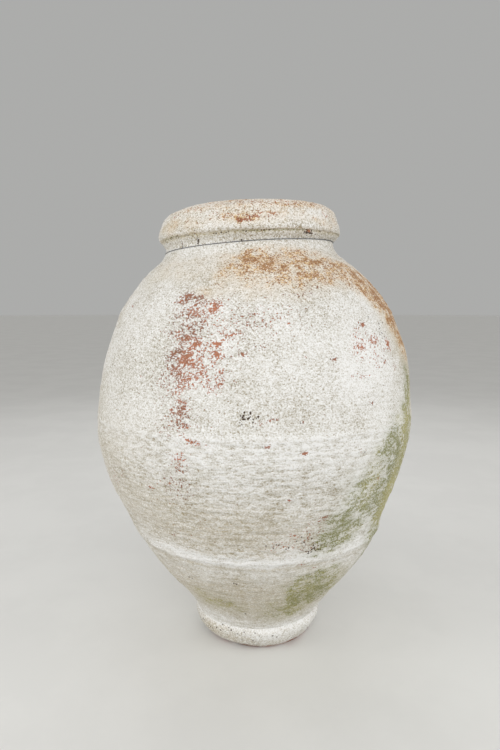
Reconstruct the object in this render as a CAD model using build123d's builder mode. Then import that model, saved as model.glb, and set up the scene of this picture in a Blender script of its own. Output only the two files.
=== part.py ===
from build123d import *
import os
from collections import namedtuple
from math import cos, radians, sin

# A tall terracotta olive jar, thrown in sections that are luted one on the next.
# Each section is turned about its own axis. The foot, the wall and the belly stand upright on
# the jar's axis, and because the jar was made by hand, the shoulder, the neck and the rim lean.

# How tall each section is, from the ground up
foot_height = 53.0
lower_wall_height = 192.0
lower_belly_height = 235.0
upper_belly_height = 195.0
shoulder_height = 127.0
rim_bevel_height = 17.0
rim_bead_height = 61.0

# The outer radius at each joint between sections
footing_radius = 104.0
foot_radius = 130.0
ridge_radius = 257.5
belly_radius = 319.5
shoulder_radius = 273.0
neck_radius = 168.0

# How thick the clay is at each joint, measured level
foot_wall = 34.0
ridge_wall = 30.0
belly_wall = 24.0
shoulder_wall = 27.0
neck_wall = 27.0

# How far the neck stands off the jar's axis, with minus to the left of the front view, and how
# far the neck's joint and the rim lean, with the right side the higher
neck_offset = -12.5
neck_tilt = 3.85
rim_tilt = 1.33

# The foot's heel: how far it stands out beyond the foot's joint, how far under that, how round
heel_reach = 5.5
heel_drop = 20.0
heel_rounding = 22.0

# Each wall runs straight from its lower joint and then turns over in one round sweep. The share
# of its height where it turns, and how far it swells there beyond the line between its joints.
lower_wall_turn_share = 0.74
lower_wall_swell = 5.1
lower_belly_turn_share = 0.45
lower_belly_swell = 13.4
upper_belly_turn_share = 0.47
upper_belly_swell = 9.7

# The shoulder rounds over to a brow and runs straight in to the neck, which stands upright on
# it. Its own leaning axis starts off the jar's axis and ends in the middle of the neck's joint.
shoulder_axis_offset = -7.1
shoulder_brow_share = 0.67
shoulder_brow_swell = 0.8
shoulder_bulge = 3.6
shoulder_trim = 20.0

# The rim: a bevel that leans out from the neck to a groove, then a rolled bead
bevel_reach = 10.0
bead_reach = 5.0
bead_rise = 7.0
brim_inset = 10.8
brim_drop = 16.9
brim_rounding = 26.0
rim_top_width = 7.0
mouth_inset = 37.0
mouth_bevel = 4.0

# The floor: a slab with a bevelled edge, plugged into the foot ring from above
floor_thickness = 32.0
footing_wall = 24.0
floor_bevel = 12.0
floor_recess = 4.0

# The luted joints: a tongue under each section sits in a groove in the one below
tongue_width = 8.0
tongue_depth = 6.0
tongue_root = 3.0

# The wire tied round the neck, in the corner under the rim
wire_diameter = 2.0
wire_sides = 8
wire_clearance = 0.3

# A joint between two sections: its level, outer radius, wall, distance off the axis, and lean
Joint = namedtuple("Joint", "level radius wall offset tilt")

foot_level = foot_height
ridge_level = foot_level + lower_wall_height
belly_level = ridge_level + lower_belly_height
shoulder_level = belly_level + upper_belly_height
neck_level = shoulder_level + shoulder_height
groove_level = neck_level + rim_bevel_height
mouth_radius = neck_radius - mouth_inset
groove_radius = neck_radius + bevel_reach

foot_joint = Joint(foot_level, foot_radius, foot_wall, 0, 0)
ridge_joint = Joint(ridge_level, ridge_radius, ridge_wall, 0, 0)
belly_joint = Joint(belly_level, belly_radius, belly_wall, 0, 0)
shoulder_joint = Joint(shoulder_level, shoulder_radius, shoulder_wall, 0, 0)
neck_joint = Joint(neck_level, neck_radius, neck_wall, neck_offset, neck_tilt)


def between(low, high, share):
    """The value that lies a share of the way from low to high."""
    return low + (high - low) * share


def plane_of(joint):
    """The plane that a joint lies in, with its origin at the joint's middle."""
    lean = radians(joint.tilt)
    return Plane(
        origin=(joint.offset, 0, joint.level),
        x_dir=(cos(lean), 0, sin(lean)),
        z_dir=(-sin(lean), 0, cos(lean)),
    )


def upright(flat):
    """The plane that a profile is drawn in, standing on a joint's plane."""
    return Plane(origin=flat.origin, x_dir=flat.x_dir, z_dir=-flat.y_dir)


def bulged(start, end, bulge):
    """An arc between two points that stands out to the right of their chord by a bulge."""
    start, end = Vector(*start), Vector(*end)
    chord = (end - start).normalized()
    return ThreePointArc(start, (start + end) / 2 + Vector(chord.Y, -chord.X) * bulge, end)


def wedge(middle, level):
    """The three corners of a tongue that points down from a joint."""
    half = tongue_width / 2
    return [(middle - half, level), (middle, level - tongue_depth), (middle + half, level)]


def tongue_of(joint):
    """The corners of the tongue in the middle of a joint's wall."""
    return wedge(joint.radius - joint.wall / 2, joint.level)


def thrown(low, high, turn_share, swell):
    """The outline of a wall between two joints, with its tongue below and its groove above."""
    turn_level = between(low.level, high.level, turn_share)
    turn_radius = between(low.radius, high.radius, turn_share) + swell
    turn_wall = between(low.wall, high.wall, turn_share)
    with BuildSketch(Plane.XZ) as outline:
        with BuildLine():
            slope = Line((low.radius, low.level), (turn_radius, turn_level))
            TangentArc(slope @ 1, (high.radius, high.level), tangent=slope % 1)
            Polyline(
                (high.radius, high.level),
                *reversed(tongue_of(high)),
                (high.radius - high.wall, high.level),
                (turn_radius - turn_wall, turn_level),
                (low.radius - low.wall, low.level),
                *tongue_of(low),
                (low.radius, low.level),
            )
        make_face()
    return outline.sketch


def tongue(joint):
    """The tongue as a ring of its own, rooted in the section above a joint."""
    flat = plane_of(joint)
    corners = wedge(joint.radius - joint.wall / 2, 0)
    with BuildPart() as ring:
        with BuildSketch(upright(flat)):
            with BuildLine():
                Polyline(
                    (corners[0][0], tongue_root),
                    *corners,
                    (corners[-1][0], tongue_root),
                    close=True,
                )
            make_face()
        revolve(axis=Axis(flat.origin, flat.z_dir))
    return ring.part


def circle(flat, radius):
    """A circle about a plane's origin."""
    with BuildSketch(flat) as round_line:
        Circle(radius)
    return round_line.sketch


os.makedirs("parts", exist_ok=True)

# The slab's bevelled edge: the same two radii shape the slab and the hole that it plugs
slab_under_radius = footing_radius - footing_wall
slab_radius = slab_under_radius + floor_bevel
slab_level = floor_recess + floor_thickness

# Floor slab
with BuildPart() as base_disc:
    with BuildSketch(Plane.XZ):
        with BuildLine():
            Polyline(
                (0, floor_recess),
                (slab_under_radius, floor_recess),
                (slab_radius, slab_level),
                (0, slab_level),
                close=True,
            )
        make_face()
    revolve(axis=Axis.Z)
base_disc.part.label = "base_disc"
export_step(base_disc.part, "parts/base_disc.step")

# Foot ring, round the slab
with BuildPart() as foot_ring:
    with BuildSketch(Plane.XZ):
        with BuildLine():
            FilletPolyline(
                (footing_radius, 0),
                (foot_radius + heel_reach, foot_level - heel_drop),
                (foot_radius, foot_level),
                radius=heel_rounding,
            )
            Polyline(
                (foot_radius, foot_level),
                *reversed(tongue_of(foot_joint)),
                (foot_radius - foot_wall, foot_level),
                (slab_radius, slab_level),
                (slab_under_radius, floor_recess),
                (slab_under_radius, 0),
                (footing_radius, 0),
            )
        make_face()
    revolve(axis=Axis.Z)
foot_ring.part.label = "foot_ring"
export_step(foot_ring.part, "parts/foot_ring.step")

# Lower wall, flaring from the foot to the first ridge
with BuildPart() as lower_wall:
    revolve(
        thrown(foot_joint, ridge_joint, lower_wall_turn_share, lower_wall_swell),
        axis=Axis.Z,
    )
lower_wall.part.label = "lower_wall"
export_step(lower_wall.part, "parts/lower_wall.step")

# Lower belly, from the first ridge to the widest joint
with BuildPart() as lower_belly:
    revolve(
        thrown(ridge_joint, belly_joint, lower_belly_turn_share, lower_belly_swell),
        axis=Axis.Z,
    )
lower_belly.part.label = "lower_belly"
export_step(lower_belly.part, "parts/lower_belly.step")

# Upper belly
with BuildPart() as upper_belly:
    revolve(
        thrown(belly_joint, shoulder_joint, upper_belly_turn_share, upper_belly_swell),
        axis=Axis.Z,
    )
upper_belly.part.label = "upper_belly"
export_step(upper_belly.part, "parts/upper_belly.step")

# Shoulder: turned about its leaning axis, and trimmed to the two joints that it runs between
shoulder_foot = Vector(shoulder_axis_offset, 0, shoulder_level)
shoulder_run = Vector(neck_offset, 0, neck_level) - shoulder_foot
shoulder_axis = shoulder_run.normalized()
shoulder_across = Vector(shoulder_axis.Z, 0, -shoulder_axis.X)
shoulder_length = shoulder_run.length
brow_radius = between(shoulder_radius, neck_radius, shoulder_brow_share) + shoulder_brow_swell
brow_rise = shoulder_length * shoulder_brow_share
with BuildPart() as shoulder:
    with BuildSketch(Plane(shoulder_foot, x_dir=shoulder_across, z_dir=(0, -1, 0))):
        with BuildLine():
            brow = bulged((shoulder_radius, 0), (brow_radius, brow_rise), shoulder_bulge)
            run_in = Line(brow @ 0, brow @ 0 - (brow % 0) * shoulder_trim)
            straight = Line(
                brow @ 1,
                brow @ 1 + (brow % 1) * ((neck_radius - brow_radius) / (brow % 1).X),
            )
            neck = Line(straight @ 1, (neck_radius, shoulder_length + shoulder_trim))
            inward = Vector(-shoulder_wall, 0)
            neck_inward = Vector(-neck_wall, 0)
            Polyline(
                neck @ 1,
                neck @ 1 + neck_inward,
                neck @ 0 + neck_inward,
                brow @ 0.5 + inward,
                brow @ 0 + inward,
                run_in @ 1 + inward,
                run_in @ 1,
            )
        make_face()
    revolve(axis=Axis(shoulder_foot, shoulder_axis))
    split(bisect_by=plane_of(shoulder_joint), keep=Keep.TOP)
    split(bisect_by=plane_of(neck_joint), keep=Keep.BOTTOM)
    add(tongue(shoulder_joint))
    add(tongue(neck_joint), mode=Mode.SUBTRACT)
shoulder.part.label = "shoulder"
export_step(shoulder.part, "parts/shoulder.step")

# Rim collar: a bevelled band between the neck's plane and the rim's, then the rolled bead
neck_plane = plane_of(neck_joint)
rim_plane = plane_of(neck_joint._replace(level=groove_level, tilt=rim_tilt))
throat_radius = neck_radius - neck_wall
throat_share = rim_bevel_height / (rim_bevel_height + rim_bead_height - mouth_bevel)
groove_bore = between(throat_radius, mouth_radius, throat_share)
bead_radius = groove_radius + bead_reach
rim_top_radius = mouth_radius + rim_top_width
with BuildPart() as rim_collar:
    loft([circle(neck_plane, neck_radius), circle(rim_plane, groove_radius)])
    loft([circle(neck_plane, throat_radius), circle(rim_plane, groove_bore)], mode=Mode.SUBTRACT)
    with BuildSketch(upright(rim_plane)):
        with BuildLine():
            Line((groove_radius, 0), (bead_radius, bead_rise))
            FilletPolyline(
                (bead_radius, bead_rise),
                (bead_radius - brim_inset, rim_bead_height - brim_drop),
                (rim_top_radius, rim_bead_height),
                radius=brim_rounding,
            )
            Polyline(
                (rim_top_radius, rim_bead_height),
                (mouth_radius + mouth_bevel, rim_bead_height),
                (mouth_radius, rim_bead_height - mouth_bevel),
                (groove_bore, 0),
                (groove_radius, 0),
            )
        make_face()
    revolve(axis=Axis(rim_plane.origin, rim_plane.z_dir))
    add(tongue(neck_joint))
rim_collar.part.label = "rim_collar"
export_step(rim_collar.part, "parts/rim_collar.step")

# Neck wire, a ring of wire that lies just under the neck's joint
wire_radius = wire_diameter / 2
wire_ring_radius = neck_radius + wire_radius + wire_clearance
with BuildPart() as neck_wire:
    with BuildSketch(upright(neck_plane)):
        with Locations((wire_ring_radius, -wire_radius)):
            RegularPolygon(wire_radius, wire_sides)
    revolve(axis=Axis(neck_plane.origin, neck_plane.z_dir))
neck_wire.part.label = "neck_wire"
export_step(neck_wire.part, "parts/neck_wire.step")
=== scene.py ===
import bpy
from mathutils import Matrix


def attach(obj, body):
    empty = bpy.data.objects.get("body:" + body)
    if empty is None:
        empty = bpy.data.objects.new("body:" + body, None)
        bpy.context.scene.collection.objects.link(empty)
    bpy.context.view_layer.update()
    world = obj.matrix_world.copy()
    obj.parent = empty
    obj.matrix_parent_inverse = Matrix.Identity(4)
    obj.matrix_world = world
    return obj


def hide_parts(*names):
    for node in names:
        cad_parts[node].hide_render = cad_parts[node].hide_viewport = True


bl_info = {
    "name": "Limewashed Olive Jar",
    "version": (1, 0, 0),
    "blender": (4, 5, 0),
    "location": "View3D > Sidebar > Olive Jar",
    "description": "Throws a tall terracotta olive jar in sections and gives it worn limewash",
    "category": "Add Mesh",
}

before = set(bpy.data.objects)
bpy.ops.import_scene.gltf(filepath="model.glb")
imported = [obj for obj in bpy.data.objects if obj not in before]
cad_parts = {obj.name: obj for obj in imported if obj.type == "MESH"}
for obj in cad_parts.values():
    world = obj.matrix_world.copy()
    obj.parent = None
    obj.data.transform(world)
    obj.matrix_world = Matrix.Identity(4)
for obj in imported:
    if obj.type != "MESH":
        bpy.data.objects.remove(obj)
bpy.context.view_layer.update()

import math
from types import SimpleNamespace

import bpy
import numpy as np
from bpy.props import FloatProperty, FloatVectorProperty, PointerProperty

COLUMNS = 720

# The levels of the joints between the sections, in metres, as the solids have them
FOOT_JOINT = 0.053
RIDGE_JOINT = 0.245
BELLY_JOINT = 0.480
SHOULDER_JOINT = 0.675
NECK_JOINT = 0.802
BEAD_LINE = 0.827
OUTLINE_TOP = 0.875
RIM_TOP = 0.880

# The neck's circle under the collar, in metres, and how far its joint and the rim lean, in
# radians, with the right side the higher
NECK_RADIUS = 0.1682
NECK_OFFSET = -0.0125
NECK_LEAN = math.radians(3.85)
RIM_LEAN = math.radians(1.33)

# The jar's outline, section by section: level, radius and distance off the axis, in metres
OUTLINE = {
    "foot": [
        (0.000, 0.1042, 0.0109), (0.014, 0.1202, 0.0060), (0.030, 0.1303, 0.0054),
        (0.042, 0.1336, 0.0056), (FOOT_JOINT, 0.1299, 0.0044),
    ],
    "lower_wall": [
        (FOOT_JOINT, 0.1299, 0.0044), (0.064, 0.1357, 0.0059), (0.100, 0.1592, 0.0076),
        (0.150, 0.1984, 0.0072), (0.200, 0.2329, 0.0061), (RIDGE_JOINT, 0.2574, 0.0026),
    ],
    "lower_belly": [
        (RIDGE_JOINT, 0.2574, 0.0026), (0.290, 0.2742, -0.0018), (0.340, 0.2947, -0.0038),
        (0.390, 0.3095, -0.0044), (0.435, 0.3188, -0.0036), (BELLY_JOINT, 0.3194, -0.0018),
    ],
    "upper_belly": [
        (BELLY_JOINT, 0.3194, -0.0018), (0.530, 0.3144, -0.0009), (0.580, 0.3065, 0.0011),
        (0.630, 0.2909, 0.0016), (SHOULDER_JOINT, 0.2729, 0.0007),
    ],
    "shoulder": [
        (SHOULDER_JOINT, 0.2729, 0.0007), (0.705, 0.2536, -0.0014), (0.735, 0.2291, -0.0061),
        (0.760, 0.2035, -0.0123), (0.782, 0.1780, -0.0144),
        (NECK_JOINT, NECK_RADIUS, NECK_OFFSET),
    ],
    "rim": [
        (NECK_JOINT, NECK_RADIUS, NECK_OFFSET), (0.811, 0.1728, -0.0098),
        (0.819, 0.1800, -0.0117), (BEAD_LINE, 0.1825, -0.0125), (0.840, 0.1793, -0.0122),
        (0.854, 0.1744, -0.0119), (0.866, 0.1663, -0.0090), (OUTLINE_TOP, 0.1500, -0.0040),
    ],
}

# The wall's thickness against the level, in metres, measured level
WALL_LEVELS = (FOOT_JOINT, RIDGE_JOINT, BELLY_JOINT, SHOULDER_JOINT, NECK_JOINT)
WALL_WIDTHS = (0.034, 0.030, 0.024, 0.027, 0.027)

# The wedge of a luted joint, in metres
WEDGE_HALF_WIDTH = 0.004
WEDGE_DEPTH = 0.006

# The slab: level and radius of its under face, its slanted edge and its top, with the middle of
# the foot's slanted seat, and the radii of the rows across the foot's flat underside, in metres
SLAB_UNDER = (0.004, 0.080)
SLAB_EDGE = ((0.0147, 0.084), (0.0253, 0.088))
SLAB_TOP = (0.036, 0.092)
SEAT_MIDDLE = (0.020, 0.086)
UNDERSIDE_RADII = (0.088, 0.096)

# The marks on the slab: the spiral on top with its pitch and the width over which it dies away
# at the edge, and the arcs left underneath by the string, with their middle's place to the
# right, their pitch and their depth, in metres
SLAB_SPIRAL_PITCH = 0.011
SLAB_SPIRAL_FADE = 0.02
STRING_PIVOT = 0.15
STRING_PITCH = 0.006
STRING_DEPTH = 0.0004

# The arc that rounds the mouth's inner edge: how far its middle stands under the rim's top and
# from the mouth's middle, how far that is off the axis, and the arc's own radius, in metres
LIP_DROP = 0.0067
LIP_RADIUS = 0.1355
LIP_OFFSET = -0.0083
LIP_ARC = 0.0045

# The rim's crown: distance under its top, radius and distance off the axis, in metres
RIM_CROWN = (
    (0.0035, 0.1447, -0.0058), (0.0027, 0.1405, -0.0070), (0.0023, 0.1375, -0.0078),
    (0.0022, LIP_RADIUS, LIP_OFFSET),
)

# The bore of the neck and the rim, with the level of its highest row, in metres
BORE_LEVELS = (NECK_JOINT, 0.8254, 0.8566, 0.8755)
BORE_RADII = (0.141, 0.13775, 0.1328, 0.131)
BORE_TOP = 0.871

# The groove under the bead and the chipped edge over it: level and half width in metres, and
# the chips' depth
GROOVE = (0.8172, 0.0024)
CHIPPED_EDGE = (0.823, 0.004)
CHIP_DEPTH = 0.006

# Heights over which the lumps and the strokes rise from nothing at the floor, and the levels
# towards which the strokes fall to a quarter and the rings to nothing, with the heights over
# which they fade, in metres
LUMP_RISE = 0.03
STROKE_RISE = 0.07
STROKE_END, STROKE_FADE = 0.50, 0.12
RING_END, RING_FADE = 0.870, 0.01

# The angle between two faces from which their edge is sharp
SHARP_ANGLE = math.radians(42)

# The wire's tie, in metres: half the gap that the ring leaves at the back, how far behind it the
# twist starts, how far each strand's face is off the twist's axis, and the length of the tangent
# with which a strand leaves the ring. The last is how steeply the twist hangs, in radians.
TIE_LEAVE = 0.010
TIE_STAND = 0.007
TIE_GAP = 0.00025
TIE_CURVE = 0.011
TIE_DROOP = math.radians(30)

# How far under its joint the neck's relief is read for the wire, in metres, the sides of the
# wire and the steps in a turn of its twist
RELIEF_DROP = 0.0015
WIRE_SIDES = 12
TWIST_STEPS = 28

# The radii of the floor's rings of quads, in metres
FLOOR_RADII = (40.0, 12.0, 4.0, 1.5, 0.5)

# The camera as fitted to the photograph: its focal length and the picture's height in rows, the
# sensor's height in millimetres, its place in metres, and the angles in degrees by which it
# looks down and to the left
FOCAL_ROWS = 575.52
PICTURE_ROWS = 750
SENSOR_HEIGHT = 36.0
CAMERA_PLACE = (-0.002, -1.199, 0.6895)
CAMERA_DOWN = 6.95
CAMERA_LEFT = 0.43

# Bands of clay at the joints: level and half width in metres, and share of the ridge's height
RIDGES = (
    (0.2480, 0.0110, 1.0), (0.2320, 0.0060, -0.4), (0.4785, 0.0085, 0.7),
    (SHOULDER_JOINT, 0.010, 0.3),
)

# The limewash of each part: its dust, contrast, streaks, whose tone paints the strokes' shade, and
# # specks of bare clay
WASHES = {
    "lower wall": (0.36, 0.66, 0.55, 0.15), "lower belly": (0.28, 0.80, 0.85, 0.15),
    "upper belly": (0.46, 1.15, 0.20, 0.15), "shoulder": (0.38, 1.15, 0.14, 0.15),
    "foot": (0.38, 1.10, 0.12, 0.12), "rim": (0.45, 1.60, 0.06, 0.16),
    "throat": (0.60, 1.00, 0.30, 0.34),
}

# Distances between the rings of the thrower's hand, outside and inside, in metres
RING_PITCH = 0.0135
INNER_PITCH = 0.016

# Weathering, with painted light and shade among it where noted. Each soft oval is the angle
# round the jar from the front towards the right and the level in millimetres of its middle, its
# half width in degrees and half height in millimetres, and its strength.
OCHRE_STAINS = [
    (1,784,5,8,.95), (-4,772,9,16,.8), (-9,756,8,20,.66), (4,762,10,24,.78), (5,786,8,7,.5),
    (10,724,12,8,.34), (37,730,9,12,.42), (46,724,8,14,.5), (51,710,6,13,.55), (52,746,8,14,.62),
    (44,766,10,16,.5), (56,690,4,16,.55), (0,742,12,16,.62), (14,764,8,18,.62), (12,742,12,16,.6),
    (24,764,10,22,.66), (20,740,11,20,.64), (33,752,11,24,.55), (30,776,9,12,.58),
    (42,752,10,26,.48), (48,744,8,22,.45), (26,724,10,10,.42), (-2,722,12,10,.3),
    (-14,740,6,18,.35), (-20,712,6,12,.45), (12,712,30,14,.22), (58,756,5,12,.55),
    (57,746,5,14,.85), (56,728,7,18,.98), (59,708,8,20,.98), (61,688,8,20,.98), (63,668,8,22,.98),
    (67,645,8,26,.95), (71,612,8,30,.8), (68,725,9,36,.98), (76,690,10,50,.98), (80,660,8,40,.85),
    (86,620,10,60,.4), (-40,840,30,16,.4), (20,838,40,14,.36), (-52,826,10,14,.34),
    # The two bands at 819 mm darken the groove under the bead: ochre specks that also paint its
    # shade.
    (0,819,180,3,.26), (180,819,100,3,.26), (180,840,100,14,.36), (-30,762,20,26,.16),
    (-16,778,10,14,.2), (46,778,14,14,.3), (-50,768,16,18,.16), (-40,748,14,18,.14),
    (108,750,20,22,.8), (126,712,18,30,.75), (152,756,18,20,.78), (178,736,16,20,.64),
    (-164,716,16,26,.74), (-140,752,14,20,.74), (-112,744,16,18,.48), (170,630,10,50,.46),
    (116,640,8,44,.55), (-46,864,16,7,.6), (-26,864,12,8,.58), (-8,861,14,9,.64), (10,863,12,9,.6),
    (26,863,14,9,.66), (44,865,14,8,.58), (64,862,14,10,.5), (30,850,12,8,.4), (0,846,16,8,.44),
    (62,842,8,14,.34), (48,838,8,8,.3), (0,874,80,6,.56), (-3,839,9,6,.84), (8,848,10,5,.6),
    (-14,846,8,6,.5), (90,864,14,8,.45), (118,862,18,9,.5), (150,866,20,8,.45), (-175,864,18,9,.5),
    (-140,866,18,8,.48), (-104,864,20,8,.45), (180,874,100,6,.5),
]
BARE_SPOTS = [
    (-26,702,4,8,.58), (-29,694,4,5,.5), (-22,700,9,16,.4), (-15,690,3,20,.4), (-18,672,4,20,.34),
    (-25,672,8,24,.38), (-20,652,4,10,.46), (-31,646,4,6,.34), (-25,640,8,24,.4),
    (-19,630,4,12,.38), (-18,614,5,10,.38), (-21,604,4,14,.34), (-28,602,4,16,.36),
    (-25,586,4,18,.36), (-30,568,3,14,.4), (-21,566,4,12,.42), (-24,594,10,40,.26),
    (-15,578,4,22,.34), (-11,572,3,20,.3), (-16,600,12,44,.2), (-24,540,7,24,.34),
    (-22,516,6,20,.32), (-20,500,3,5,.55), (-24,490,6,24,.24), (-18,472,3,6,.64), (-14,468,2,3,.6),
    (-23,442,3,12,.44), (-22,428,3,8,.46), (-26,404,7,34,.26), (-22,372,8,28,.22),
    (-12,628,1.5,4,.7), (-12,612,1.5,5,.66), (-4,612,1.6,5,.62), (-9,650,6,10,.3),
    (-6,676,12,26,.2), (4,664,14,36,.2), (-2,620,16,30,.14), (14,690,12,16,.18), (18,706,10,5,.34),
    (26,716,7,5,.42), (40,654,1.2,4,.95), (36,640,5,26,.3), (44,628,3,9,.46), (52,616,1.6,12,.92),
    (36,622,3,8,.4), (48,611,1.8,5,.64), (47,590,1.8,6,.62), (53,578,1.8,5,.62), (42,606,8,30,.28),
    (35,572,5,4.5,.66), (24,603,1.4,3.5,.95), (39,525,1.4,5,.85), (15,455,1.2,3.5,.85),
    (35,452,1.6,4,.6), (46,388,1.4,6,.7), (1.5,506,3,5,.42), (5,512,3,3,.38), (14,506,1,2.5,.8),
    (4,470,1.2,4,.85), (-58,690,1.6,4,.85), (-44,690,5,10,.12), (-38,568,1.4,3,.5),
    (-58,372,8,24,.3), (-50,392,5,12,.32), (-35,382,2,4,.55), (-30,290,1.4,3,.6),
    (-26,300,8,24,.14), (11,378,1,2.5,.85), (24,335,2.2,3.5,.72), (21,328,4,5,.34),
    (13,306,1.6,3,.6), (20,296,9,30,.28), (8,287,6,12,.28), (22,268,6,14,.36), (18,238,1.8,2.5,.9),
    (11,240,1.4,2.5,.7), (24,226,2,3,.4), (-3,837,6,4.5,.72), (4,842,6,4,.5), (-10,846,8,5,.4),
    (8,849,8,4,.34), (12,846,4,3,.46), (-20,852,6,7,.32), (-52,854,5,5,.46),
    (37.5,815,3.6,3.2,.86), (-36,858,8,5,.26), (32,848,6,6,.22), (54,852,6,7,.34), (0,868,80,7,.3),
    (120,655,6,34,.56), (114,606,5,26,.56), (125,566,5,30,.48), (150,704,10,16,.46),
    (-150,640,6,30,.6), (-145,596,5,26,.62), (-154,548,5,26,.5), (-104,672,7,18,.44),
    (-98,628,5,18,.5), (172,522,5,22,.48), (158,402,5,18,.48), (-120,430,5,20,.44),
    (-170,330,8,24,.42), (98,520,4,12,.52), (138,842,8,4,.66), (-112,846,7,4,.55),
    # The last four ovals, at 2 mm round the foot, are a painted contact shadow in bare clay's
    # colour.
    (-165,838,6,3.5,.85), (94,848,7,5,.4), (180,868,100,7,.3), (-3,2,60,6,.8), (50,2,30,6,.8),
    (-60,2,30,6,.75), (150,2,70,7,.8),
]
MOSS_GROWTH = [
    (32,300,8,30,.62), (28,276,7,22,.54), (37,284,8,22,.48), (36,330,7,28,.52), (29,326,6,22,.42),
    (41,392,6,32,.56), (44,440,6,36,.56), (46,350,6,36,.56), (42,310,8,30,.4), (50,450,6,40,.5),
    (38,352,8,40,.38), (33,384,7,30,.3), (45,334,7,32,.4), (16,120,12,28,.42), (24,152,12,34,.44),
    (12,94,14,16,.36), (50,392,6,40,.56), (24,258,6,12,.42), (33,206,8,18,.66), (27,190,9,26,.54),
    (22,170,10,28,.48), (30,160,11,30,.56), (38,170,10,30,.54), (20,140,13,24,.5),
    (34,126,13,28,.64), (46,140,10,34,.54), (26,100,15,20,.48), (8,120,11,26,.3),
    (54,440,5,40,.52), (57,400,6,40,.7), (61,430,6,50,.85), (57,350,7,36,.8), (57,304,7,30,.84),
    (63,380,8,60,.95), (60,320,8,50,.9), (64,440,6,60,.8), (62,456,6,50,.85), (66,520,7,44,.62),
    (68,560,6,40,.4), (60,500,4,40,.46), (62,556,4,30,.36), (64,300,10,60,.85), (62,250,9,34,.6),
    (54,250,6,20,.4), (66,180,12,50,.6), (76,420,10,90,.5), (82,300,12,90,.45),
    (-23,132,13,30,.52), (-34,118,12,24,.4), (-14,110,10,18,.2), (94,480,10,80,.5),
    (98,210,18,70,.62), (108,340,12,80,.46), (126,190,16,60,.52), (146,270,12,50,.36),
    (-172,160,20,50,.4), (-134,150,18,46,.36), (-90,130,16,40,.34), (76,818,14,8,.4),
    # This line's first two ovals and the last of the line before, at 817-818 mm, darken the groove
    # under the bead: olive specks that also paint its shade.
    (10,817,60,2.2,.5), (-56,818,18,3,.45), (-48,752,22,24,.14), (-64,560,6,80,.1),
    (-60,790,12,10,.16),
]
OLIVE_CAST = [
    (60,360,9,80,.95), (64,470,9,80,.85), (70,260,12,90,.75), (80,400,14,140,.8),
    (-25,120,26,36,.9), (-50,765,26,30,.8), (24,120,20,36,.7), (130,250,60,120,.4),
]
# Chalk bloom and painted highlights: the level bands at 250-252 mm (lower ridge), 478-480 mm
# (belly's joint) and 51 mm (foot's top edge) paint the light that the rounded clay catches there;
# the other ovals are fresh chalky wash.
CHALK_BLOOM = [
    (22,640,22,40,.44), (30,570,18,50,.56), (44,590,10,50,.6), (8,570,14,50,.3), (-8,628,5,18,.45),
    (34,690,12,20,.36), (46,700,8,20,.4), (40,540,12,40,.5), (12,480,40,6,.6), (-36,478,20,6,.4),
    (48,500,10,50,.6), (20,460,20,34,.36), (34,362,4,22,.45), (44,302,5,14,.6), (44,262,6,12,.9),
    (38,226,7,9,.7), (36,400,6,26,.4), (10,251,44,13,.95), (-26,252,30,13,.95), (50,210,8,20,.5),
    (0,51,70,5,.95), (180,51,110,5,.95), (10,38,40,10,.3), (-40,846,14,10,.2), (20,838,16,12,.55),
    (44,848,9,8,.8), (-14,828,12,4,.55), (-60,600,20,80,.16), (120,480,60,6,.5),
    (-130,478,50,6,.5), (150,570,26,60,.55), (-110,560,22,60,.5), (-175,250,50,7,.45),
    (100,250,26,7,.4),
]
GRIME_FILM = [
    (-30,340,50,70,.45), (-20,300,34,44,.45), (5,320,22,54,.36), (20,290,12,30,.3),
    (-60,420,24,80,.5), (-72,600,12,150,.2), (-50,750,26,30,.14), (-28,732,16,22,.14),
    # This line's first two ovals, at 233 mm round the jar, are a painted shadow line under the
    # lower ridge.
    (0,233,80,4,.6), (180,233,100,4,.6), (-10,160,60,55,.6), (30,160,40,60,.5), (20,124,26,38,.55),
    (0,96,80,30,.55), (-38,160,18,50,.34), (-60,300,30,90,.4), (-60,160,24,60,.6),
    (-25,130,20,34,.9), (175,150,80,80,.65), (-110,150,50,80,.65), (100,150,40,80,.6),
    (150,330,60,70,.45), (-120,340,50,70,.45), (64,630,9,60,.6), (70,560,9,80,.5),
    # The bands at 817 mm, starting the next line, are painted shade in the groove under the bead;
    # those at 810 mm, ending this line, grey the neck under it.
    (-9,168,2,30,.8), (-9.6,104,1.6,14,.8), (0,810,180,6,.3), (180,810,100,6,.3),
    (0,817,180,2.5,.85), (180,817,100,2.5,.85), (-34,826,5,12,.5), (-48,834,8,12,.45),
    (-50,842,22,22,.4), (-62,836,10,14,.45), (0,18,90,14,.3), (-48,24,26,20,.8),
    (180,18,100,14,.35),
]
# Pits, darkened with dirt and painted shade in their hollows; the two long thin ovals at 817 mm
# paint a line of shade in the groove under the bead.
DARK_PITS = [
    (-3.6,514,1.6,7,.85), (-1.1,514,1.5,9,.62), (-4.1,502,.6,2.4,1), (-2.6,519,1.4,4,.6),
    (0,500,1,4,.5), (13,506,.8,3,.6), (3,470,.9,3,.7), (-35.5,187,1.6,3,1), (-34.2,186,1.2,2.4,1),
    (-10,195,.9,3.4,1), (-9.6,97,1.3,4,1), (7,288,3,6,.46), (23,268,4,8,.44), (18,286,8,22,.2),
    (-46.8,806,1,11,1), (-33,809,1.1,13,1), (-4,804,.9,4,1), (35.6,813,2.6,3,1), (39,812,3.4,3,1),
    (0,34,60,14,.12), (-40,30,26,14,.12), (16,817,50,1.9,.62), (-50,817,24,1.9,.58),
    (175,30,120,14,.14), (-50,380,10,30,.1), (50,640,6,30,.16), (34,450,3,6,.4), (142,502,3,9,.8),
    (-128,300,3,8,.6), (165,815,3,2.4,1), (-95,814,2.5,2.4,1), (-160,200,1.6,4,1),
    (110,210,1.4,4,.9),
]
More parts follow.
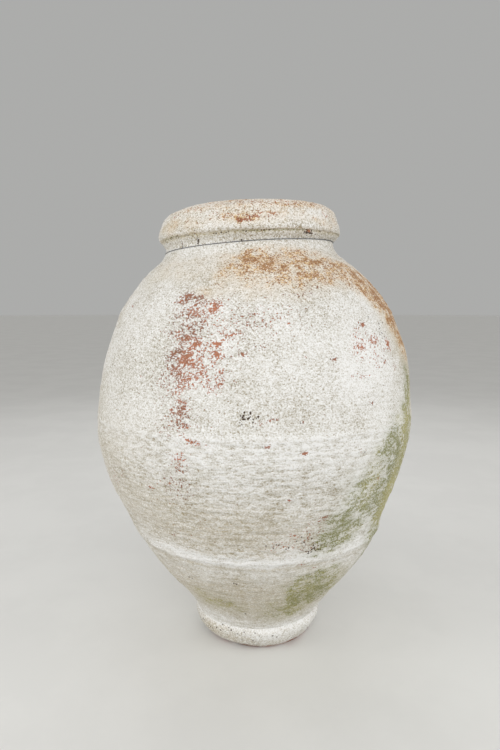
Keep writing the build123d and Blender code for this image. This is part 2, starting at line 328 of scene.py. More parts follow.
MASKS = {
    "ochre": OCHRE_STAINS, "bare": BARE_SPOTS, "moss": MOSS_GROWTH, "olive": OLIVE_CAST,
    "chalk": CHALK_BLOOM, "grime": GRIME_FILM, "pit": DARK_PITS,
}


# Settings

def length(label, text, default, least=0.0):
    """A setting in metres."""
    return FloatProperty(name=label, description=text, default=default, min=least, unit="LENGTH")


def power(label, text, default):
    """A lamp's power."""
    return FloatProperty(name=label, description=text, default=default, min=0.0, unit="POWER")


def tint(label, text, *default):
    """A colour as display values."""
    return FloatVectorProperty(name=label, description=text, default=default,
                               subtype="COLOR_GAMMA", size=3, min=0, max=1)


class JarShape(bpy.types.PropertyGroup):
    """How the clay was worked."""

    row_height: length("Row height", "Distance between the mesh's rows outside", 0.0024, 0.001)
    lump: length("Lumps", "How far the hand-made wall swells and dips", 0.0011)
    dimple: length("Dimples", "How deep the small unevenness of the face is", 0.0006)
    stroke: length("Strokes", "Depth of the level wiping strokes on the lower half", 0.0013)
    throwing: length("Throwing rings", "Height of the faint rings of the thrower's hand", 0.00035)
    ridge: length("Joint ridges", "How far the clay stands out at each luted joint", 0.0016)
    groove: length("Rim groove", "Depth of the groove under the rolled bead", 0.0020)
    pit: length("Pits", "Depth of the dark pits", 0.0016)
    inner_rings: length("Inner rings", "Height of the spiral throwing ridges inside", 0.0009)


class JarColours(bpy.types.PropertyGroup):
    """Colours of the worn limewash and of what shows through it."""

    white: tint("Wash white", "Fresh chalky grains of the limewash", 0.945, 0.943, 0.936)
    grey: tint("Wash grey", "Thin, rain-washed limewash", 0.855, 0.845, 0.820)
    dust: tint("Dust", "Dirt that lies between the grains", 0.620, 0.580, 0.490)
    # Grime also paints the shade in the groove under the bead and the shadow under the lower
    # ridge.
    grime: tint("Grime", "Beige film on the lower half and in the groove", 0.700, 0.645, 0.525)
    terracotta: tint("Terracotta", "Bare fired clay", 0.735, 0.455, 0.320)
    dark_clay: tint("Dark clay", "Bare clay where dirt has settled in it", 0.480, 0.345, 0.270)
    ochre: tint("Ochre", "Rusty ochre lichen and stain on the shoulder", 0.625, 0.440, 0.265)
    pale_ochre: tint("Pale ochre", "The thin edge of the ochre stain", 0.860, 0.735, 0.540)
    moss: tint("Moss", "Green algae on the damp side", 0.490, 0.496, 0.280)
    olive: tint("Olive", "Yellow-green algae at the damp edge", 0.632, 0.600, 0.295)
    hole: tint("Pits", "Shadowed dirt inside the pits", 0.300, 0.240, 0.190)


class JarWire(bpy.types.PropertyGroup):
    """The wire tied round the neck."""

    radius: length("Wire radius", "Half the wire's thickness", 0.00062, 0.0002)
    clearance: length("Clearance", "How far the wire stands off the neck", 0.0006)
    twist_turns: FloatProperty(
        name="Twist turns", description="How often the two ends are wound round each other",
        default=2.5, min=0.5)
    twist_pitch: length("Twist pitch", "Length of one turn of the twist", 0.009, 0.004)


class JarStage(bpy.types.PropertyGroup):
    """The floor, the lamps and the camera."""

    drop: length("Floor drop", "How far the floor lies under the foot, off its plane", 0.0004)
    floor: tint("Floor", "Colour of the plain floor", 0.86, 0.86, 0.85)
    backdrop: tint("Backdrop", "Colour seen beyond the floor", 0.675, 0.676, 0.670)
    key_power: power("Key lamp", "Power of the large soft lamp above the camera", 24.0)
    left_power: power("Left lamp", "Power of the soft lamp at the left", 17.5)
    side_power: power("Side lamps", "Power of the soft lamps at the right and the back", 11.7)
    spread: FloatProperty(
        name="Lamp spread", description="Angle within which a lamp shines, so its pool fades",
        default=math.radians(120), min=0.1, max=math.pi, subtype="ANGLE")
    sky: FloatProperty(
        name="Sky", description="Strength of the even light from all round",
        default=0.56, min=0.0)


# Shapes

def natural_spline(knots, values, at):
    """A curve through the values, of a cubic between each two knots with equal slopes and
    bends where they meet and no bend at the ends: second derivatives m solve
    h0 m0 + 2 (h0 + h1) m1 + h1 m2 = 6 (change of slope), and each cubic follows from them."""
    gap = np.diff(knots)
    slope = np.diff(values) / gap
    count = len(knots)
    system = np.eye(count)
    inner = np.arange(1, count - 1)
    system[inner, inner - 1] = gap[:-1]
    system[inner, inner] = 2 * (gap[:-1] + gap[1:])
    system[inner, inner + 1] = gap[1:]
    bends = np.zeros(count)
    bends[inner] = 6 * np.diff(slope)
    bends = np.linalg.solve(system, bends)
    place = np.clip(np.searchsorted(knots, at, side="right") - 1, 0, count - 2)
    step, low = gap[place], at - knots[place]
    high = step - low
    return (
        (bends[place] * high ** 3 + bends[place + 1] * low ** 3) / (6 * step)
        + (values[place] / step - bends[place] * step / 6) * high
        + (values[place + 1] / step - bends[place + 1] * step / 6) * low
    )


def outline_at(section, level):
    """Radius and distance off the axis at a level of one section, by its natural splines."""
    knots, radius, offset = np.array(OUTLINE[section]).T
    return natural_spline(knots, radius, level), natural_spline(knots, offset, level)


def lean_at(level):
    """The lean of the jar's circles: none up to the shoulder's joint, then rising evenly to the
    neck's lean at its joint, and falling evenly to the rim's lean by the bead's widest line."""
    return np.interp(level, (SHOULDER_JOINT, NECK_JOINT, BEAD_LINE), (0.0, NECK_LEAN, RIM_LEAN))


def outward_tilt():
    """A table of the whole outline's tilt from upright against level: the arctangent of minus
    the radius's slope, averaged over 12 mm so that neighbouring sections share it."""
    level = np.arange(0.0, OUTLINE_TOP + 0.0001, 0.001)
    radius = np.zeros(len(level))
    for name, rows in OUTLINE.items():
        within = level >= rows[0][0]
        radius[within] = outline_at(name, level[within])[0]
    slope = np.gradient(radius, level)
    reach = 6
    padded = np.concatenate([np.full(reach, slope[0]), slope, np.full(reach, slope[-1])])
    window = np.ones(2 * reach + 1) / (2 * reach + 1)
    return level, np.arctan(-np.convolve(padded, window, "valid"))


TILT_LEVELS, TILT_VALUES = outward_tilt()


def lattice_noise(points, size, seed):
    """Smooth noise from -1 to 1: a value hashed from the seed and the place of each corner of a
    lattice of cubes of the given size, blended across a cube by 3t^2 - 2t^3 along each axis."""
    scaled = points / size + seed * 17.31
    cell = np.floor(scaled).astype(np.int64)
    part = scaled - cell
    part = part * part * (3 - 2 * part)
    total = np.zeros(points.shape[:-1])
    for corner in range(8):
        step = np.array([corner & 1, corner >> 1 & 1, corner >> 2 & 1])
        mixed = (cell + step) * np.array([73856093, 19349663, 83492791])
        key = mixed[..., 0] ^ mixed[..., 1] ^ mixed[..., 2] ^ (seed * 2654435761)
        key = (key ^ (key >> 15)) * 2246822519 & 0xFFFFFFFF
        key = (key ^ (key >> 13)) * 3266489917 & 0xFFFFFFFF
        value = ((key ^ (key >> 16)) & 0xFFFF) / 32767.5 - 1
        total += value * np.prod(np.where(step, part, 1 - part), axis=-1)
    return total


def noises(points, *layers, start=0.0):
    """A start plus a sum of lattice noises, each given as its weight, its size and its seed."""
    weighted = (weight * lattice_noise(points, size, seed) for weight, size, seed in layers)
    return sum(weighted, start)


def bell(level, middle, width):
    """A bell over the level: e^-((level - middle) / width)^2."""
    return np.exp(-((level - middle) / width) ** 2)


def ovals_at(angle, level, sway, lift, ovals):
    """What the soft ovals leave at each point, 1 - product of (1 - strength e^(-1.2 d^2)), with d
    the distance from an oval's middle in half widths and half heights. Sway and lift move the
    place where an oval is read, the less the smaller it is, so that it has no drawn edge."""
    left = np.ones(np.shape(angle))
    for middle, height, half_width, half_height, strength in ovals:
        across = (angle + sway * min(1.0, half_width / 12) - middle + 180) % 360 - 180
        upward = level + lift * min(1.0, half_height / 24) - height
        distance = (across / half_width) ** 2 + (upward / half_height) ** 2
        left *= 1 - strength * np.exp(-1.2 * distance)
    return 1 - left


def weathering(points, angle, level):
    """Every mask's amount at each point: its ovals, read at an angle and a level that two sizes
    of noise have moved by up to 8 degrees and 22 mm. Noise also adds to the ochre, the bare
    clay and the moss, or takes from them, up to two thirds."""
    sway = noises(points, (5.0, 0.050, 3), (3.0, 0.016, 4))
    lift = noises(points, (14.0, 0.045, 5), (8.0, 0.015, 6))
    patches = noises(points, (0.40, 0.013, 7), (0.25, 0.006, 8), start=1)
    amounts = {
        name: ovals_at(angle, level * 1000, sway, lift, ovals) for name, ovals in MASKS.items()
    }
    for name in ("bare", "ochre", "moss"):
        amounts[name] = np.clip(amounts[name] * patches, 0, 1)
    return amounts


def hand_relief(points, level, shape, pits):
    """How far the face stands out of the thrown outline: broad lumps and small dimples of
    lattice noise, level strokes of noise drawn out three times as long as high, faint rings
    that are a sine of the level with a wandering phase, a low bell of clay at each ridge, a
    bell-shaped groove under the bead with chips along its edge, and the pits' depth."""
    lumps = noises(points, (0.65, 0.110, 11), (0.35, 0.045, 12))
    dimples = noises(points, (0.6, 0.016, 13), (0.4, 0.007, 14))
    strokes = noises(points * np.array([1.0, 1.0, 3.2]), (0.6, 0.030, 19), (0.4, 0.015, 20))
    phase = level / RING_PITCH * 2 * np.pi + noises(points, (2.5, 0.09, 15))
    rings = np.sin(phase) * noises(points, (0.4, 0.12, 16), start=0.6)
    bells = sum(share * bell(level, middle, width) for middle, width, share in RIDGES)
    chips = np.clip(lattice_noise(points, 0.010, 17) - 0.42, 0, 1) * bell(level, *CHIPPED_EDGE)
    return (
        shape.lump * lumps * np.clip(level / LUMP_RISE, 0, 1)
        + shape.dimple * dimples
        + (shape.stroke * strokes * np.clip((STROKE_END - level) / STROKE_FADE, 0.25, 1)
           * np.clip(level / STROKE_RISE, 0, 1))
        + shape.throwing * rings * np.clip((RING_END - level) / RING_FADE, 0, 1)
        + shape.ridge * bells * noises(points, (0.5, 0.05, 18), start=0.75)
        - shape.groove * bell(level, *GROOVE)
        - CHIP_DEPTH * chips
        - shape.pit * np.clip(pits * 2 - 1, 0, 1)
    )


def circles(level, radius, offset, lean, count):
    """A grid of circles, one for each row: with a the angle from the front towards the right,
    x = offset + r sin a cos lean, y = -r cos a, z = level + r sin a sin lean."""
    angle = (np.arange(count) * 360.0 / count - 180.0)[None, :]
    turn = np.radians(angle)
    level, radius, offset, lean = (
        np.asarray(v, float)[:, None] for v in (level, radius, offset, lean))
    points = np.stack([
        offset + radius * np.sin(turn) * np.cos(lean),
        -radius * np.cos(turn),
        level + radius * np.sin(turn) * np.sin(lean),
    ], axis=-1)
    grid = points.shape[:2]
    return points, np.broadcast_to(angle, grid), np.broadcast_to(level, grid)


def outward(angle, tilt):
    """The face's outward direction: level at angle a, raised by the outline's tilt."""
    turn = np.radians(angle)
    return np.stack([
        np.sin(turn) * np.cos(tilt), -np.cos(turn) * np.cos(tilt), np.sin(tilt) + 0 * turn,
    ], axis=-1)


def grid_object(name, points, materials, masks=(), bands=None):
    """A mesh of quads over a grid of points, closed round in the columns. With bands, which give
    each row of quads its material, it closes in the rows too. Without them, the first and the
    last row are drawn in to one pole each."""
    rows, columns = points.shape[:2]
    index = np.arange(rows * columns).reshape(rows, columns)
    low, high = index, np.roll(index, -1, axis=0)
    places, caps = points.reshape(-1, 3), []
    if bands is None:
        low, high = low[:-1], high[:-1]
        places = np.concatenate([places, [points[0].mean(axis=0), points[-1].mean(axis=0)]])
        pole = np.full(columns, rows * columns)
        for corners in ((pole, np.roll(index[0], -1), index[0]),
                        (pole + 1, index[-1], np.roll(index[-1], -1))):
            caps += np.stack(corners, axis=-1).tolist()
    quads = np.stack([low, np.roll(low, -1, axis=1), np.roll(high, -1, axis=1), high], axis=-1)
    mesh = bpy.data.meshes.new(name)
    mesh.from_pydata(places.tolist(), [], quads.reshape(-1, 4).tolist() + caps)
    if bands is not None:
        mesh.polygons.foreach_set("material_index", np.repeat(bands, columns))
    for mask in masks:
        layer = mesh.attributes.new(mask, "FLOAT", "POINT")
        layer.data.foreach_set("value", masks[mask].ravel().astype(np.float32))
    mesh.shade_smooth()
    mesh.set_sharp_from_angle(angle=SHARP_ANGLE)
    for material in materials:
        mesh.materials.append(material)
    piece = bpy.data.objects.new(name, mesh)
    bpy.context.scene.collection.objects.link(piece)
    return piece


def clay_piece(name, node, outer, ends, inner, foot_end, materials, shape, fade_rows=0):
    """One section of clay as a closed ring. Its rows run up the outer face, over the upper end,
    down the hollow and back under the lower end. Each row is a level, radius, offset and lean.
    The outer face is moved along its outward direction by the hand relief, the hollow by a
    spiral: inward by a sine of level plus angle, and both ends stay as thrown. Over the last
    fade_rows of the outer face the relief dies away."""
    rows = np.concatenate([outer, ends, inner, foot_end])
    points, angle, level = circles(*rows.T, COLUMNS)
    masks = weathering(points, angle, level)
    tilt = np.interp(level, TILT_LEVELS, TILT_VALUES)
    face, hollow = np.zeros(len(rows)), np.zeros(len(rows))
    face[:len(outer)] = 1
    face[len(outer) - fade_rows:len(outer)] = np.linspace(1, 0, fade_rows)
    relief = hand_relief(points, level, shape, masks["pit"]) * face[:, None]
    moved = points + outward(angle, tilt) * relief[..., None]
    start = len(outer) + len(ends)
    hollow[start:start + len(inner)] = np.sin(np.linspace(0, np.pi, len(inner))) ** 0.3
    spiral = np.sin(level / INNER_PITCH * 2 * np.pi + np.radians(angle))
    spiral = spiral + noises(points, (0.6, 0.03, 21))
    swell = hollow[:, None] * shape.inner_rings * spiral
    moved -= outward(angle, 0 * tilt) * swell[..., None]
    moved[..., 2] = np.maximum(moved[..., 2], 0.0)
    bands = (np.arange(len(rows)) >= len(outer)).astype(np.int32)
    piece = grid_object(name, moved, materials, masks, bands)
    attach(piece, "root")
    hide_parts(node)
    return piece


def wedge_rows(level, middle, offset, lean):
    """The three rows of a luted joint's wedge, from the hollow's side to the outer side."""
    return np.array([
        (level, middle - WEDGE_HALF_WIDTH, offset, lean),
        (level - WEDGE_DEPTH, middle, offset, lean),
        (level, middle + WEDGE_HALF_WIDTH, offset, lean),
    ])


def face_rows(section, samples, row_height=None, count=None):
    """The rows of a section's outer face, at even steps along its profile: a given count of
    them, or as many as the row height asks for."""
    fine = np.linspace(OUTLINE[section][0][0], OUTLINE[section][-1][0], samples)
    radius, offset = outline_at(section, fine)
    along = np.concatenate([[0], np.cumsum(np.hypot(np.diff(fine), np.diff(radius)))])
    count = count or int(along[-1] / row_height) + 1
    level = np.interp(np.linspace(0, along[-1], count), along, fine)
    return np.stack([level, *outline_at(section, level), lean_at(level)], axis=-1)


def wall_rows(section, row_height):
    """The rows of a wall section: the outer face, the two ends with their wedges, and the
    hollow, which is the outer face less the wall's thickness."""
    outer = face_rows(section, 800, row_height=row_height)
    wall = np.interp(outer[:, 0], WALL_LEVELS, WALL_WIDTHS)
    lining, seam = outer.copy(), outer.copy()
    lining[:, 1] -= wall
    seam[:, 1] -= wall / 2
    inner = lining[::-4]
    if inner[-1, 0] > outer[0, 0]:
        inner = np.concatenate([inner, lining[:1]])
    return outer, wedge_rows(*seam[-1])[::-1], inner, wedge_rows(*seam[0])


# Surfaces

def linear(colour):
    """A display colour as scene-linear values with full alpha."""
    return tuple(
        c / 12.92 if c <= 0.04045 else ((c + 0.055) / 1.055) ** 2.4 for c in colour) + (1.0,)


class Graph:
    """A shader tree, with short names for the nodes that it uses most."""

    def __init__(self, tree):
        self.tree = tree

    def fill(self, node, sockets):
        """Gives a node's sockets a value or a link each."""
        for key, value in sockets.items():
            if isinstance(value, bpy.types.NodeSocket):
                self.tree.links.new(value, node.inputs[key])
            else:
                node.inputs[key].default_value = value

    def put(self, kind, sockets=None, **settings):
        """Adds a node, sets its settings, and fills its sockets."""
        node = self.tree.nodes.new("ShaderNode" + kind)
        for key, value in settings.items():
            setattr(node, key, value)
        self.fill(node, sockets or {})
        return node

    def math(self, operation, *values, clamp=False):
        """Arithmetic on two or three values."""
        return self.put(
            "Math", dict(enumerate(values)), operation=operation, use_clamp=clamp).outputs[0]

    def times(self, first, second):
        return self.math("MULTIPLY", first, second)

    def plus(self, first, second):
        return self.math("ADD", first, second)

    def minus(self, first, second):
        return self.math("SUBTRACT", first, second)

    def most(self, first, second):
        return self.math("MAXIMUM", first, second)

    def mix(self, amount, low, high):
        """One colour over another by an amount."""
        return self.put("Mix", {0: amount, 6: low, 7: high}, data_type="RGBA").outputs[2]

    def step(self, value, low, high, to_low=0.0, to_high=1.0, curve="SMOOTHSTEP"):
        """A smooth step of a value between two limits, or an even rise."""
        return self.put("MapRange", {
            "Value": value, "From Min": low, "From Max": high, "To Min": to_low, "To Max": to_high,
        }, interpolation_type=curve).outputs[0]

    def noise(self, vector, scale, detail, roughness=0.5):
        """Noise from 0 to 1 about a half."""
        return self.put("TexNoise", {
            "Vector": vector, "Scale": scale, "Detail": detail, "Roughness": roughness,
        }).outputs["Fac"]

    def squashed(self, vector, height):
        """Coordinates that draw a pattern out level with the ground."""
        return self.put("Mapping", {"Vector": vector, "Scale": (1.0, 1.0, height)}).outputs[0]

    def bump(self, height, strength, distance):
        """A normal that follows a height."""
        return self.put("Bump", {
            "Height": height, "Strength": strength, "Distance": distance,
        }).outputs[0]

    def channels(self, colour):
        """A colour's red, green and blue."""
        return self.put("SeparateColor", {"Color": colour}).outputs


def new_group(name, inputs):
    """A shader node group with a value socket for each input that has a value and a vector
    socket for the others: its graph, and what it is given."""
    tree = bpy.data.node_groups.new(name, "ShaderNodeTree")
    for label, value in inputs.items():
        kind = "NodeSocketVector" if value is None else "NodeSocketFloat"
        socket = tree.interface.new_socket(label, in_out="INPUT", socket_type=kind)
        if value is not None:
            socket.default_value = value
    return Graph(tree), tree.nodes.new("NodeGroupInput").outputs


def closed_group(graph, results):
    """The group with an output socket for each result, of which Colour alone is a colour."""
    for label in results:
        kind = "NodeSocketColor" if label == "Colour" else "NodeSocketFloat"
        graph.tree.interface.new_socket(label, in_out="OUTPUT", socket_type=kind)
    graph.fill(graph.tree.nodes.new("NodeGroupOutput"), results)
    return graph.tree


def broken_edge_group(name):
    """A mask that covers the grains one by one as its amount grows: 0 where the grain's chance
    is above the amount, rising by a smooth step to 1 where it is below it by the softness."""
    g, get = new_group(name, {"Amount": 0.0, "Chance": 0.5, "Gain": 1.0, "Softness": 0.2})
    left = g.minus(g.times(get["Amount"], get["Gain"]), get["Chance"])
    kept = g.step(get["Amount"], 0.0, 0.08)
    return closed_group(g, {"Mask": g.times(g.step(left, 0.0, get["Softness"]), kept)})


def clay_grit_group(name):
    """Gritty plaster in Object coordinates: round grains of a few millimetres from a Voronoi
    distance, each with its own chance to lose its wash, crumbs from fine noise, and streaks
    from noise drawn out level with the ground."""
    g, get = new_group(name, {"Vector": None, "Grain Scale": 480.0})
    vector = get["Vector"]
    warp = g.noise(vector, 300.0, 2.0).node.outputs["Color"]
    bent = g.put("VectorMath", {0: warp, 1: (0.005,) * 3}, operation="MULTIPLY").outputs[0]
    moved = g.put("VectorMath", {0: vector, 1: bent}, operation="ADD").outputs[0]
    cells = g.put("TexVoronoi", {"Vector": moved, "Scale": get["Grain Scale"]}).outputs
    each = g.channels(cells["Color"])
    crumbs = g.noise(g.squashed(vector, 1.5), 330.0, 4.0, 0.58)
    spread = g.step(crumbs, 0.34, 0.66, curve="LINEAR")
    mottle = g.noise(vector, 220.0, 2.0)
    return closed_group(g, {
        "Grains": g.step(cells["Distance"], 0.75, 0.20),
        "Chance": g.math("MULTIPLY_ADD", spread, 0.56, g.times(each["Red"], 0.44)),
        "Crumbs": crumbs,
        "Streaks": g.noise(g.squashed(vector, 3.4), 60.0, 4.0, 0.62),
        "Clouds": g.noise(vector, 11.0, 4.0, 0.55),
        "Second": each["Green"],
        "Mottle": g.step(mottle, 0.36, 0.64, curve="LINEAR"),
    })


def limewash_group(name, colours, grit, edge):
    """Worn limewash: grains of white wash over dust, painted lighter and darker along the level
    strokes and lighter on the ridges by the chalk mask, filmed with grime that also paints the
    shade in the groove and under the lower ridge, then ochre stain, bare clay, which also paints
    the foot's contact shadow, and moss, each broken up by the grains, and dark dirt with painted
    shade in the pits."""
    g, get = new_group(name, {
        "Vector": None, "Dust": 0.35, "Contrast": 1.0, "Speckle": 0.0, "Streak": 0.3,
        **{mask.capitalize(): 0.0 for mask in MASKS},
    })
    c = SimpleNamespace(**{
        key: linear(getattr(colours, key)) for key in JarColours.__annotations__})
    given = g.put("Group", {"Vector": get["Vector"]}, node_tree=grit).outputs
    grains, chance, streaks, clouds, second, mottle = (
        given[key] for key in ("Grains", "Chance", "Streaks", "Clouds", "Second", "Mottle"))

    # Three chances for the stains to break up by: of finer grains, of flecks and of streaks
    finer = g.plus(g.times(chance, 0.60), g.times(second, 0.40))
    fleck = g.plus(g.times(chance, 0.66), g.times(mottle, 0.34))
    drawn = g.plus(g.times(finer, 0.72), g.step(streaks, 0.38, 0.62, 0.0, 0.28))

    def broken(amount, gain, softness, by):
        return g.put("Group", {
            "Amount": amount, "Gain": gain, "Softness": softness, "Chance": by,
        }, node_tree=edge).outputs["Mask"]

    # The wash, from dust by grey to white. The chalk mask lightens it, with painted highlights on
    #     # the ridges, and the streaks paint the light and shade of the level strokes whose bump
    #     they raise
    tone = g.math("MULTIPLY_ADD", g.minus(chance, 0.5), get["Contrast"], 0.5)
    tone = g.plus(tone, g.times(grains, 0.22))
    streaked = g.times(g.step(streaks, 0.38, 0.62, -0.5, 0.5), get["Streak"])
    for amount, weight in (
        (get["Chalk"], 0.30), (get["Dust"], -0.34), (g.minus(clouds, 0.5), 0.7), (streaked, 0.50),
    ):
        tone = g.math("MULTIPLY_ADD", amount, weight, tone)
    surface = g.mix(g.step(tone, -0.02, 0.40), c.dust, c.grey)
    surface = g.mix(g.step(tone, 0.42, 0.82), surface, c.white)

    # Grime, which also paints shade in the groove and under the lower ridge, thinner on the
    # grains'
    #     # tops and under fresh chalk and its painted highlights
    film = g.times(get["Grime"], g.step(chance, 0.25, 0.85, 0.85, 0.30))
    film = g.times(film, g.step(get["Chalk"], 0.2, 0.9, 1.0, 0.25))

    # Ochre
    deep = g.most(g.step(mottle, 0.85, 0.30), g.step(get["Ochre"], 0.86, 1.0, 0.0, 0.9))
    rust = g.mix(deep, c.pale_ochre, c.ochre)
    rust = g.mix(g.step(chance, 0.40, 0.20, 0.0, 0.8), rust, c.dark_clay)
    ochre = broken(get["Ochre"], 0.71, 0.07, finer)

    # Bare clay, which also paints the contact shadow along the foot's bottom edge
    fired = g.plus(g.times(second, 0.6), g.step(clouds, 0.35, 0.65, -0.15, 0.55))
    clay = g.mix(fired, c.dark_clay, c.terracotta)
    bare = broken(g.plus(get["Bare"], get["Speckle"]), 0.80, 0.08, fleck)

    # Moss
    turned = g.plus(get["Olive"], g.step(clouds, 0.34, 0.66, -0.5, 0.35))
    turned = g.math("ADD", turned, g.step(mottle, 0.0, 1.0, -0.2, 0.2), clamp=True)
    green = g.mix(turned, c.moss, c.olive)
    moss = broken(get["Moss"], 0.88, 0.18, drawn)
    moss = g.times(moss, g.step(finer, 0.38, 0.62, 1.0, 0.30))

    # Pits: open holes where the mask is strong, and a scatter of dots where it is weak, in a
    # colour of
    #     # dirt and painted shade
    holes = g.put("TexVoronoi", {"Vector": get["Vector"], "Scale": 230.0}).outputs
    few = g.times(g.channels(holes["Color"])["Red"], 0.8)
    opened = g.step(g.minus(get["Pit"], few), 0.0, 0.06)
    dots = g.times(g.step(holes["Distance"], 0.44, 0.34), opened)
    hole = g.most(g.step(get["Pit"], 0.70, 0.95), dots)

    # From the bottom up, with a thin film of its own under the ochre and the moss
    for amount, over in (
        (film, c.grime), (g.times(get["Ochre"], 0.46), c.pale_ochre), (g.times(ochre, 0.92), rust),
        (g.times(bare, 0.94), clay), (g.times(get["Moss"], 0.46), green),
        (g.times(moss, 0.86), green), (hole, c.hole),
    ):
        surface = g.mix(amount, surface, over)

    # The height: grains and streaks, less where the wash is gone
    height = g.math("MULTIPLY_ADD", grains, 0.45, g.times(chance, 0.75))
    strokes = g.math("MULTIPLY_ADD", get["Streak"], 5.0, 0.5)
    height = g.plus(height, g.times(streaks, strokes))
    return closed_group(g, {
        "Colour": surface,
        "Height": g.minus(height, g.times(g.most(bare, hole), 0.5)),
        "Roughness": g.step(chance, 0.2, 0.8, 0.82, 0.98),
    })


def new_material(name):
    """A material with a Principled shader only: the material, its graph, its shader, and the
    place on the piece in Object coordinates."""
    material = bpy.data.materials.new(name)
    material.use_nodes = True
    material.node_tree.nodes.clear()
    g = Graph(material.node_tree)
    shader = g.put("BsdfPrincipled")
    g.put("OutputMaterial", {"Surface": shader.outputs[0]})
    return material, g, shader, g.put("TexCoord").outputs["Object"]


def limewash_material(name, group, amounts):
    """Worn limewash with the piece's own masks and its own amounts of dust, contrast, streaks
    and specks of bare clay."""
    material, g, shader, place = new_material(name)
    given = dict(zip(("Dust", "Contrast", "Streak", "Speckle"), amounts), Vector=place)
    for mask in MASKS:
        given[mask.capitalize()] = g.put("Attribute", attribute_name=mask).outputs["Fac"]
    wash = g.put("Group", given, node_tree=group).outputs
    g.fill(shader, {
        "Base Color": wash["Colour"], "Roughness": wash["Roughness"], "Specular IOR Level": 0.25,
        "Normal": g.bump(wash["Height"], 0.75, 0.0011),
    })
    return material


def raw_clay_material(name, grit, colours):
    """Bare fired clay inside the jar: terracotta clouded with pale bloom and darker dirt."""
    material, g, shader, place = new_material(name)
    grain = g.put("Group", {"Vector": place, "Grain Scale": 260.0}, node_tree=grit).outputs
    crumbs = grain["Crumbs"]
    body = g.mix(g.step(grain["Clouds"], 0.35, 0.65),
                 linear(colours.dark_clay), linear(colours.terracotta))
    bloom = g.times(g.step(grain["Streaks"], 0.45, 0.7), 0.5)
    body = g.mix(bloom, body, linear(colours.pale_ochre))
    body = g.mix(g.times(g.step(crumbs, 0.52, 0.7), 0.5), body, linear(colours.hole))
    height = g.plus(crumbs, g.times(grain["Grains"], 0.4))
    g.fill(shader, {
        "Base Color": body, "Roughness": g.step(crumbs, 0.3, 0.7, 0.8, 0.97),
        "Specular IOR Level": 0.2, "Normal": g.bump(height, 0.6, 0.0009),
    })
    return material


def wire_material(name):
    """Dull annealed steel: dark grey drawn wire with faint brown rust in patches."""
    material, g, shader, place = new_material(name)
    drawn = g.noise(place, 900.0, 3.0)
    rust = g.step(g.noise(place, 60.0, 4.0, 0.6), 0.56, 0.70)
    steel = g.mix(g.step(drawn, 0.3, 0.7), linear((0.36, 0.37, 0.38)), linear((0.54, 0.55, 0.56)))
    g.fill(shader, {
        "Base Color": g.mix(g.times(rust, 0.6), steel, linear((0.36, 0.27, 0.21))),
        "Metallic": g.step(rust, 0.0, 1.0, 0.8, 0.1),
        "Roughness": g.step(drawn, 0.2, 0.8, 0.42, 0.68),
        "Normal": g.bump(drawn, 0.4, 0.0002),
    })
    return material


def floor_material(name, colour):
    """A plain matt surface with a faint even grain."""
    material, g, shader, place = new_material(name)
    grain = g.step(g.noise(place, 3.0, 6.0, 0.6), 0.4, 0.6)
    dark = linear(c * 0.985 for c in colour)
    g.fill(shader, {"Base Color": g.mix(grain, dark, linear(colour)), "Roughness": 0.75})
    return material


def shared(store, name, maker, *given):
    """A material or node group by name, made the first time that it is asked for."""
    return store.get(name) or maker(name, *given)


def clay_grit():
    """The grit that the limewash and the raw clay share."""
    return shared(bpy.data.node_groups, "Clay Grit", clay_grit_group)


def limewash(scene, part):
    """The limewash of one part, by the group that they all share."""
    groups = bpy.data.node_groups
    edge = shared(groups, "Broken Edge", broken_edge_group)
    wash = shared(groups, "Worn Limewash", limewash_group, scene.jar_colours, clay_grit(), edge)
    return limewash_material("Limewash " + part, wash, WASHES[part])


def raw_clay(scene):
    """The raw clay that the hollow's pieces share."""
    return shared(
        bpy.data.materials, "Raw Clay", raw_clay_material, clay_grit(), scene.jar_colours)


# Operators

class JAR_OT_throw_walls(bpy.types.Operator):
    """Throws the four wall sections: the lower wall, the two belly sections and the shoulder."""

    bl_idname = "jar.throw_walls"
    bl_label = "Throw Walls"

    def execute(self, context):
        scene = context.scene
        for section in ("lower_wall", "lower_belly", "upper_belly", "shoulder"):
            materials = limewash(scene, section.replace("_", " ")), raw_clay(scene)
            rows = wall_rows(section, scene.jar_shape.row_height)
            clay_piece(section + "_clay", section, *rows, materials, scene.jar_shape)
        return {"FINISHED"}


class JAR_OT_shape_foot(bpy.types.Operator):
    """Shapes the foot ring, with the bevelled hole that the floor slab plugs."""

    bl_idname = "jar.shape_foot"
    bl_label = "Shape Foot"

    def execute(self, context):
        level = np.linspace(0.0, FOOT_JOINT, 36)
        outer = np.stack([level, *outline_at("foot", level), 0 * level], axis=-1)
        _, radius, middle, _ = outer[-1]
        upper = wedge_rows(FOOT_JOINT, radius - WALL_WIDTHS[0] / 2, middle, 0.0)[::-1]
        inner = np.array([
            (FOOT_JOINT, radius - WALL_WIDTHS[0], middle, 0.0), (*SLAB_TOP, middle, 0.0),
            (*SEAT_MIDDLE, middle, 0.0), (*SLAB_UNDER, middle, 0.0),
            (0.0, SLAB_UNDER[1], middle, 0.0),
        ])
        under = np.array([(0.0, radius, middle, 0.0) for radius in UNDERSIDE_RADII])
        materials = limewash(context.scene, "foot"), raw_clay(context.scene)
        clay_piece("foot_ring_clay", "foot_ring", outer, upper, inner, under, materials,
                   context.scene.jar_shape)
        return {"FINISHED"}


